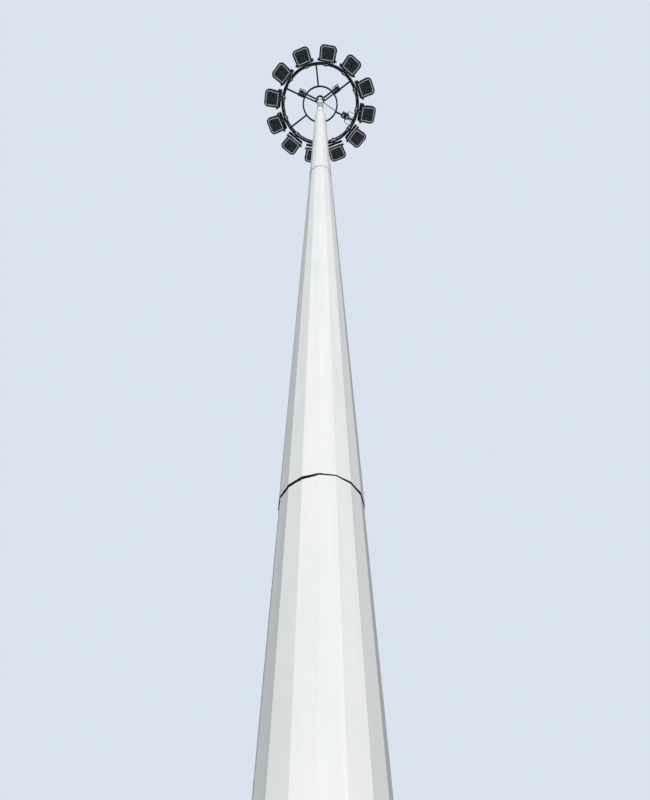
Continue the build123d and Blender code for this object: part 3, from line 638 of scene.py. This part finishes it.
def dress_harness():
    """The lamps' loom: cables laid together on the ring's inner edge, passing round the saddle bolts."""
    half = LOOM_CABLE + LOOM_LAY
    rest = RING_Z + SADDLE_TOP + half
    first = bearing_of(lamp_frames[lamp_names[0]].translation)
    pitch = 2 * pi / len(lamp_names)

    def reach(a):
        """The loom's distance from the mast: it swerves inward past each saddle's bolt."""
        off = (a - first + pitch / 2) % pitch - pitch / 2
        swerve = max(0.0, 1 - (off / radians(4.5)) ** 2) ** 2
        return RING_IN - LOOM_INSET - LOOM_SWERVE * swerve + 0.0015 * sin(13 * a + 1)

    b = Build()
    for strand in range(LOOM_CABLES):
        path = []
        for n in range(LOOM_STEPS):
            a = 2 * pi * n / LOOM_STEPS
            turn = LOOM_TWISTS * a + strand * 2 * pi / LOOM_CABLES + 0.5 * sin(5 * a + strand)
            path.append(polar(reach(a) + LOOM_LAY * cos(turn), a, rest + LOOM_LAY * sin(turn)))
        b.tube(path, LOOM_CABLE, 8, close=True)
    b.piece("ring_harness", cable_black, "lowering_ring", smooth=40)
    ties = Build()
    loop = half + 0.0012
    angles = [2 * pi * n / 20 for n in range(20)]
    for k in range(360 // TIE_SPACING):
        a = first + radians(TIE_SPACING * k)
        path = [(reach(a) + loop * cos(t), 0, rest - RING_Z + loop * sin(t)) for t in angles]
        ties.tube(path, TIE_RADIUS, 6, radial_frame(a, (0, 0, RING_Z)), close=True)
    ties.piece("harness_ties", black_nylon, "lowering_ring", smooth=50)


def dress_box():
    """The junction box's lid, its screws, its glands and feet."""
    m = spoke_frames()[BOX_SPOKE]
    low, high = local_box("junction_box", m)
    rim = 0.003
    lid_top = high.z + 0.004
    lid = Build()
    lid.box((low.x - rim, low.y - rim, high.z - 0.022), (high.x + rim, high.y + rim, lid_top), m, 0.003)
    step = 0.02
    lid.box((low.x + step, low.y + step, high.z + 0.003), (high.x - step, high.y - step, high.z + 0.006),
            m, 0.002)
    lid.piece("box_lid", box_coat, "lowering_ring")
    b = Build()
    for x in (low.x + 0.012, high.x - 0.012):
        for y in (low.y + 0.012, high.y - 0.012):
            hex_head(b, m @ Vector((x, y, lid_top)), UP, 0.010, 0.005)
    feet = (low.x + 0.035, high.x - 0.035)
    for x in feet:
        for side in (-1, 1):
            spot = m @ Vector((x, side * 0.031, low.z - 0.002))
            b.rod(spot - UP * 0.052, spot + UP * 0.004, 0.004, 10)
            hex_head(b, spot - UP * 0.046, -UP, 0.013, 0.007)
    for x in feet:
        b.box((x - 0.012, -0.038, low.z - 0.049), (x + 0.012, 0.038, low.z - 0.044), m, 0.001)
    b.piece("box_fixings", stainless, "lowering_ring", smooth=30)
    g = Build()
    level = low.z + (high.z - low.z) / 4
    middle = (low.x + high.x) / 2
    exits = [((low.x, 0, low.z + 0.010), (-1, 0, 0))]
    for side in (-1, 1):
        exits.append(((middle + 0.03, side * high.y, level), (0, side, 0)))
        exits.append(((high.x, side * high.y / 2, level), (1, 0, 0)))
    for spot, direction in exits:
        spot, direction = Vector(spot), Vector(direction)
        nut = spot + direction * 0.016
        g.rod(spot - direction * 0.002, nut, 0.0125, 6, m)
        g.rod(nut, spot + direction * 0.026, 0.0105, 12, m, top=0.0075)
    g.piece("box_glands", black_nylon, "lowering_ring", smooth=30)


def dress_brackets():
    """Bolts of the hoist brackets and the shackle pins of the rope sockets."""
    plate_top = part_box("hoist_brackets")[0].z + 0.012 - RING_Z
    eye_low, eye_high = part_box("rope_sockets")
    middle = (eye_low.z + eye_high.z) / 2 - RING_Z
    peak = eye_high.z - RING_Z
    b = Build()
    for m in spoke_frames()[1::2]:
        for x in HOIST_BOLTS:
            for side in (-1, 1):
                hex_head(b, m @ Vector((x, side * HOIST_BOLT_SIDE, plate_top)), UP, 0.016, 0.009)
        b.rod((ROPE_REACH, -0.027, middle), (ROPE_REACH, 0.027, middle), 0.008, 14, m)
        for side in (1, -1):
            hex_head(b, m @ Vector((ROPE_REACH, side * SHACKLE_SIDE, middle)),
                     m.to_3x3() @ Vector((0, side, 0)), 0.022, 0.009)
        b.rod((ROPE_REACH, 0, peak - 0.002), (ROPE_REACH, 0, peak + 0.05), 0.011, 14, m, top=0.0078)
    b.piece("bracket_fixings", stainless, "lowering_ring", smooth=30)


# ---------------------------------------------------------------- head frame
sheave_places = [(bearing_of(j["pos_m"]), (j["pos_m"][0] ** 2 + j["pos_m"][1] ** 2) ** 0.5, j["pos_m"][2])
                 for j in sheave_joints]
OUTER_REACH = max(p[1] for p in sheave_places)
INNER_REACH = min(p[1] for p in sheave_places)
OUTER_Z = max(p[2] for p in sheave_places)
INNER_Z = min(p[2] for p in sheave_places)
SHEAVE_RIM = 0.007                       # beyond the rope's centre line
OUTER_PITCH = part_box("sheave_outer_1")[1].z - OUTER_Z - SHEAVE_RIM
INNER_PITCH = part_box("sheave_inner_1")[1].z - INNER_Z - SHEAVE_RIM
ROPE_REACH = OUTER_REACH + OUTER_PITCH
ROPE_RADIUS = 0.004
ROPE_STRANDS = 6
ROPE_LAY = 0.055                         # along the rope, for one turn of its strands
ROPE_STEP = 0.006
CABLE_RADIUS = 0.010
INNER_AXLE_HALF = 0.033
OUTER_AXLE_HALF = 0.057
SOCKET_BOLTS = (0.110, 0.132)            # along each socket arm, from the mast's axis
CHEEK_BOLT = 0.075                       # to each side of the outer sheave's axle
TOP_BOLT = 0.060
arm_frames = [radial_frame(a) for a, reach, z in sheave_places if reach > (INNER_REACH + OUTER_REACH) / 2]


def dress_head():
    """Bolts of the hub, the arms, the sheave boxes and the top plate, and the axles' keeper plates."""
    b = Build()
    socket_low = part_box("docking_collar")[1].z - 0.070
    plate_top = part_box("head_top_plate")[1].z
    for m in arm_frames:
        turn = m.to_3x3()
        axles = ((INNER_REACH, INNER_Z, INNER_AXLE_HALF), (OUTER_REACH, OUTER_Z, OUTER_AXLE_HALF))
        for reach, z, half in axles:
            for side in (-1, 1):
                out = turn @ Vector((0, side, 0))
                end = m @ Vector((reach, side * half, z))
                b.rod(end - out * 0.0035 - UP * 0.019, end - out * 0.0035 + UP * 0.017, 0.0022, 8)
                b.rod(end - out * 0.007, end - out * 0.0055, 0.018, 20)
        for x in SOCKET_BOLTS:
            for side in (-1, 1):
                hex_head(b, m @ Vector((x, side * 0.033, socket_low - 0.008)), -UP, 0.017, 0.009)
        for x in (OUTER_REACH - CHEEK_BOLT, OUTER_REACH + CHEEK_BOLT):
            for side in (-1, 1):
                hex_head(b, m @ Vector((x, side * 0.049, OUTER_Z + 0.012)), turn @ Vector((0, side, 0)),
                         0.015, 0.008)
        for side in (-1, 1):
            hex_head(b, m @ Vector((TOP_BOLT, side * TOP_BOLT, plate_top)), UP, 0.015, 0.008)
    b.piece("head_bolts", bolt_zinc, "mast", smooth=30)


def strand_rope(b, path, m):
    """A laid rope: a lobed section that turns as it runs."""
    path = [Vector(p) for p in path]
    sides = 18
    loops = []
    run = 0.0
    side = None
    for k, p in enumerate(path):
        along = (path[min(k + 1, len(path) - 1)] - path[max(k - 1, 0)]).normalized()
        if side is None:
            side = along.cross(Vector((1, 0, 0)) if abs(along.x) < 0.9 else UP).normalized()
        side = (side - along * side.dot(along)).normalized()
        other = along.cross(side)
        if k:
            run += (p - path[k - 1]).length
        turn = 2 * pi * run / ROPE_LAY / ROPE_STRANDS
        ring = []
        for n in range(sides):
            a = 2 * pi * n / sides
            r = ROPE_RADIUS * (0.9 + 0.12 * abs(cos(ROPE_STRANDS / 2 * a)))
            ring.append(p + (side * cos(a + turn) + other * sin(a + turn)) * r)
        loops.append(ring)
    b.loft(loops, m)


def sheave_arc(reach, z, pitch, first, last):
    """Points on a rope's bend, at angles turned outward from the sheave's top."""
    count = 24
    angles = [first + (last - first) * n / count for n in range(count + 1)]
    return [(reach + pitch * sin(a), 0, z + pitch * cos(a)) for a in angles]


def make_ropes():
    """Stranded ropes in place of the plain ones: still over the sheaves, stretching down to the ring."""
    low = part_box("hoist_rope_leads")[0].z
    inner = INNER_REACH - INNER_PITCH
    run, fall = OUTER_REACH - INNER_REACH, OUTER_Z - INNER_Z
    lean = asin((INNER_PITCH - OUTER_PITCH) / hypot(run, fall)) - atan2(fall, run)
    count = int((INNER_Z - low) / ROPE_STEP)
    path = [(inner, 0, low + (INNER_Z - low) * n / count) for n in range(count)]
    path += sheave_arc(INNER_REACH, INNER_Z, INNER_PITCH, -pi / 2, lean)
    far = sheave_arc(OUTER_REACH, OUTER_Z, OUTER_PITCH, lean, pi / 2)
    a, z = Vector(path[-1]), Vector(far[0])
    count = int((z - a).length / ROPE_STEP)
    path += [a.lerp(z, (n + 1) / count) for n in range(count - 1)]
    path += far
    leads = Build()
    for m in arm_frames:
        strand_rope(leads, path, m)
    obj = leads.piece("rope_leads", rope_wire, "mast", smooth=70)
    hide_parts("hoist_rope_leads")
    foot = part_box("hoist_rope_drops")[0].z
    drops = Build()
    count = 120
    path = [(ROPE_REACH, 0, OUTER_Z + (foot - OUTER_Z) * n / count) for n in range(count + 1)]
    for m in arm_frames:
        strand_rope(drops, path, m)
    obj = drops.piece("rope_drops", rope_wire, None, smooth=70)
    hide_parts("hoist_rope_drops")
    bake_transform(obj)


def make_power_cable():
    """The supply cable from the hub's gland to the clamp on its spoke, with a slight sag."""
    m = spoke_frames()[BOX_SPOKE]
    low, high = local_box("power_cable", m)
    start = Vector((low.x + CABLE_RADIUS, 0, high.z))
    end = Vector((high.x - CABLE_RADIUS, 0, low.z))
    sag = 0.018
    steps = 32
    path = []
    for n in range(steps + 1):
        t = n / steps
        p = start.lerp(end, t)
        p.z -= sag * sin(pi * t)
        path.append(m @ p)
    b = Build()
    b.tube(path, CABLE_RADIUS, 12)
    obj = b.piece("supply_cable", cable_black, None, smooth=40)
    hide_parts("power_cable")
    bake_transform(obj)


# ---------------------------------------------------------------- shaft
SIDES = 16
SHAFT_SECTIONS = ("mast_section_lower", "mast_section_middle", "mast_section_upper")
SHAFT_TAPER = 0.0126                     # radius lost per metre of height
LIP_WAVES = 6
# Each point of the painted shadow band as a share of its depth and a distance out from the shaft.
LIP_PROFILE = ((0.0, 0.0006), (0.0, 0.0048), (1.0, 0.0040), (1.0, 0.0006))
LIP_DEEPEST = radians(-38)               # bearing where the painted shadow band hangs deepest
LIP_LEAST = 0.28                         # shares of the deepest drop
LIP_SWAY = 0.58
LIP_RIPPLE = 0.12
SEAM_RADIUS = 0.0035
SEAM_STEP = 0.06
STUD_RADIUS = 0.0165
BASE_BEAD = 0.005                        # radius of the weld beads beside the gussets
COLLAR_HEIGHT = 0.060
COLLAR_RADIUS = max(v.co.x for v in NODES["shaft_reducer"].data.vertices
                    if v.co.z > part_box("shaft_reducer")[1].z - 0.001)


def top_radius(node):
    """From the axis to a section's front corner at its top."""
    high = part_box(node)[1].z
    return max(-v.co.y for v in NODES[node].data.vertices if v.co.z > high - 0.001)


def shaft_corner(node, z, k):
    """A corner of a shaft section's outside at a height."""
    low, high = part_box(node)
    base = -low.y
    radius = base + (top_radius(node) - base) * (z - low.z) / (high.z - low.z)
    a = 2 * pi * k / SIDES
    return Vector((radius * sin(a), -radius * cos(a), z))


def level_way_out(p):
    """The level direction from the mast's axis to a point."""
    return Vector((p.x, p.y, 0)).normalized()


def around_shaft(node, z, per_side, out=0.0):
    """Points round a section's flats, starting at the front corner."""
    points = []
    for k in range(SIDES):
        a, b = shaft_corner(node, z, k), shaft_corner(node, z, k + 1)
        for n in range(per_side):
            p = a.lerp(b, n / per_side)
            points.append(p + level_way_out(p) * out)
    return points


def make_lip_shadow(name, above, below, deepest):
    """A painted shadow: a dark, uneven band just below the open edge where an upper section is slipped over a
    lower one.
    """
    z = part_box(above)[0].z
    per_side = 10
    random.seed(11)
    wave = [random.uniform(0, 2 * pi) for k in range(LIP_WAVES)]
    rows = []
    for depth, out in LIP_PROFILE:
        row = []
        for n, p in enumerate(around_shaft(below, z, per_side, out)):
            a = 2 * pi * n / (SIDES * per_side)
            ripple = sum(sin((k + 2) * 3 * a + wave[k]) / (k + 2) for k in range(LIP_WAVES))
            near = 0.5 + 0.5 * cos(3 * (a - LIP_DEEPEST))
            drop = deepest * (LIP_LEAST + LIP_SWAY * near + LIP_RIPPLE * ripple)
            taper = SHAFT_TAPER * drop * depth
            row.append(p + level_way_out(p) * taper - UP * max(drop, 0.0015) * depth)
        rows.append(row)
    b = Build()
    b.loft(rows, close=True)
    b.piece(name, painted_joint_shadow, "mast")


def make_seams():
    """The long weld of each section, on a flat at the back, up to where the next section covers it."""
    b = Build()
    random.seed(7)
    seam = SIDES // 2
    for node, cover in zip(SHAFT_SECTIONS, SHAFT_SECTIONS[1:] + (None,)):
        low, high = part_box(node)
        start = low.z + 0.02
        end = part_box(cover)[0].z - 0.03 if cover else high.z - 0.02
        count = int((end - start) / SEAM_STEP)
        path = []
        for n in range(count + 1):
            z = start + (end - start) * n / count
            p = shaft_corner(node, z, seam).lerp(shaft_corner(node, z, seam + 1), 0.5)
            path.append(p + level_way_out(p) * random.uniform(-0.0006, 0.0))
        b.tube(path, SEAM_RADIUS, 6)
    b.piece("shaft_seams", zinc, "mast", smooth=60)


def make_base_fixings():
    """Anchor studs with nuts, the foot's weld, and the welds beside the gussets."""
    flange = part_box("base_flange")[1].z
    anchors = [mount for mount in frame["record"]["mounts"] if mount["name"] == "anchor_bolts"][0]["dims"]
    circle = anchors["pcd_mm"] / 2000
    nut = 0.029
    nut_end = 0.026
    studs = Build()
    for k in range(anchors["count"]):
        spot = polar(circle, 2 * pi * k / anchors["count"], flange)
        studs.rod(spot - UP * 0.030, spot + UP * 0.085, STUD_RADIUS)
        studs.rod(spot, spot + UP * 0.006, 0.034, 24)
        studs.tube([spot + UP * 0.006, spot + UP * 0.031, spot + UP * 0.034], nut, 6, end=nut_end)
        studs.tube([spot + UP * 0.036, spot + UP * 0.052, spot + UP * 0.055], nut, 6, end=nut_end)
    studs.piece("anchor_studs", bolt_zinc, "mast", smooth=30)
    b = Build()
    rows = []
    for rise, out in ((0.0, -0.002), (0.0, 0.012), (0.012, 0.001), (0.012, -0.002)):
        rows.append([p + UP * rise for p in around_shaft(SHAFT_SECTIONS[0], flange, 2, out)])
    b.loft(rows, close=True)
    gusset_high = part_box("base_gussets")[1]
    inner = -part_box(SHAFT_SECTIONS[0])[0].y * cos(pi / SIDES)
    bead = flange + 0.003
    for k in range(SIDES):
        m = radial_frame(2 * pi * (k + 0.5) / SIDES)
        for y in (-0.0065, 0.0065):
            b.tube([(inner + 0.004, y, bead), (gusset_high.x - 0.006, y, bead)], BASE_BEAD, 6, m)
            b.tube([(inner + 0.002, y, bead), (inner - 0.002, y, gusset_high.z - 0.004)], BASE_BEAD, 6, m)
    b.piece("base_welds", zinc_plain, "mast", smooth=60)


def dress_door():
    """The access door's gasket, hinges and locks, and the earth stud on the shaft below it."""
    m = radial_frame(pi / SIDES)
    low, high = local_box("door_cover", m)
    face = high.x
    gasket = Build()
    edge = 0.004
    gasket.box((low.x - 0.0005, low.y + edge, low.z + edge), (low.x + 0.0022, high.y - edge, high.z - edge),
               m, 0.0003)
    gasket.piece("door_gasket", black_nylon, "mast")
    b = Build()
    pin_y = low.y - 0.004
    lock_y = high.y - 0.030
    leaf = 0.026
    hinge_inset = 0.16
    for z in (low.z + hinge_inset, high.z - hinge_inset):
        b.rod((face + 0.002, pin_y, z - 0.035), (face + 0.002, pin_y, z + 0.035), 0.008, 14, m)
        b.box((face - 0.001, low.y - 0.002, z - leaf), (face + 0.003, low.y + 0.045, z + leaf), m, 0.001)
        b.box((face - 0.010, low.y - 0.024, z - leaf), (face - 0.004, pin_y, z + leaf), m, 0.001)
        b.rod((face - 0.0005, lock_y, z), (face + 0.005, lock_y, z), 0.016, 24, m)
        b.rod((face + 0.005, lock_y, z), (face + 0.008, lock_y, z), 0.008, 3, m)
    earth_z = 0.40
    place = shaft_corner(SHAFT_SECTIONS[0], earth_z, 2).lerp(shaft_corner(SHAFT_SECTIONS[0], earth_z, 3), 0.5)
    out = level_way_out(place)
    boss = place + out * 0.012
    stud = 0.006
    b.rod(place - out * 0.004, boss, 0.016, 20)
    b.rod(boss - out * 0.002, boss + out * 0.022, stud, 12)
    hex_head(b, boss, out, stud * 3.2, stud * 1.7)
    b.piece("door_fittings", zinc_plain, "mast", smooth=30)


def dress_reducer():
    """The set screws that centre the head tube in its collar, and a painted shadow band under the collar."""
    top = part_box("shaft_reducer")[1].z
    # Painted shadow: a near-black ring under the collar's foot, where shade falls.
    shadow_band = Build()
    foot, out = top - COLLAR_HEIGHT, COLLAR_RADIUS
    shadow_band.turned([(out - 0.010, foot), (out - 0.001, foot), (out - 0.001, foot - 0.007),
                 (out - 0.008, foot - 0.012)])
    shadow_band.piece("collar_joint", painted_joint_shadow, "mast", smooth=30)
    b = Build()
    screws = 6
    for k in range(screws):
        a = 2 * pi * (k + 0.25) / screws
        b.rod(polar(0.090, a, top - 0.030), polar(0.101, a, top - 0.030), 0.0055, 12)
    b.piece("collar_screws", zinc_plain, "mast", smooth=30)


dress_lamps()
dress_clamps()
dress_welds()
dress_harness()
dress_box()
make_ropes()
make_power_cable()
dress_brackets()
dress_head()
make_lip_shadow("lip_lower", "mast_section_middle", "mast_section_lower", 0.030)
make_lip_shadow("lip_upper", "mast_section_upper", "mast_section_middle", 0.012)
make_seams()
make_base_fixings()
dress_door()
dress_reducer()

# ---------------------------------------------------------------- floor, backdrop and light
BACKDROP = (0.70, 0.77, 0.85)
SKY_LIGHT = (0.62, 0.74, 0.90)
SKY_STRENGTH = 0.09
FLOOR_COLOUR = (0.26, 0.27, 0.28)
FLOOR_GLOW = 0.78
FLOOR_HALF = 40


def sight_of(tree):
    """1 for what the camera sees, directly or in gloss and glass, and 0 for what lights the object."""
    path = tree.nodes.new("ShaderNodeLightPath")
    sight = path.outputs["Is Camera Ray"]
    for kind in ("Is Glossy Ray", "Is Transmission Ray"):
        total = tree.nodes.new("ShaderNodeMath")
        total.operation = "MAXIMUM"
        tree.links.new(sight, total.inputs[0])
        tree.links.new(path.outputs[kind], total.inputs[1])
        sight = total.outputs["Value"]
    return sight


def make_floor():
    """A plain floor that looks pale and keeps the shadow."""
    b = Build()
    size = FLOOR_HALF
    b.add([(-size, -size, 0), (size, -size, 0), (size, size, 0), (-size, size, 0)], [(0, 1, 2, 3)])
    floor = Nodes("floor", FLOOR_COLOUR, 0.0, 0.9, sheen=0.0)
    floor.shader.inputs["Emission Color"].default_value = (*BACKDROP, 1)
    glow = floor.tree.nodes.new("ShaderNodeMath")
    glow.operation = "MULTIPLY"
    glow.inputs[1].default_value = FLOOR_GLOW
    floor.tree.links.new(sight_of(floor.tree), glow.inputs[0])
    floor.tree.links.new(glow.outputs["Value"], floor.shader.inputs["Emission Strength"])
    obj = b.piece("floor", floor.material, None)


def make_world():
    """A plain pale surround for the camera, gloss and glass, and a softer level for lighting."""
    world = bpy.data.worlds.new("surround")
    bpy.context.scene.world = world
    world.use_nodes = True
    tree = world.node_tree
    tree.nodes.clear()
    seen = tree.nodes.new("ShaderNodeBackground")
    seen.inputs["Color"].default_value = (*BACKDROP, 1)
    light = tree.nodes.new("ShaderNodeBackground")
    light.inputs["Color"].default_value = (*SKY_LIGHT, 1)
    light.inputs["Strength"].default_value = SKY_STRENGTH
    mix = tree.nodes.new("ShaderNodeMixShader")
    out = tree.nodes.new("ShaderNodeOutputWorld")
    tree.links.new(sight_of(tree), mix.inputs["Fac"])
    tree.links.new(light.outputs["Background"], mix.inputs[1])
    tree.links.new(seen.outputs["Background"], mix.inputs[2])
    tree.links.new(mix.outputs["Shader"], out.inputs["Surface"])


def make_sun(name, strength, bearing, height, spread, colour):
    """A sun at a bearing and height in degrees, as soft as its spread."""
    data = bpy.data.lights.new(name, "SUN")
    data.energy = strength
    data.angle = radians(spread)
    data.color = colour
    obj = bpy.data.objects.new(name, data)
    bpy.context.scene.collection.objects.link(obj)
    towards = polar(cos(radians(height)), radians(bearing), sin(radians(height)))
    obj.rotation_euler = towards.to_track_quat("Z", "Y").to_euler()


make_floor()
make_world()
make_sun("key", strength=3.4, bearing=6, height=18, spread=10, colour=(1.0, 0.985, 0.96))
make_sun("back", strength=2.1, bearing=187, height=25, spread=30, colour=(0.94, 0.97, 1.0))
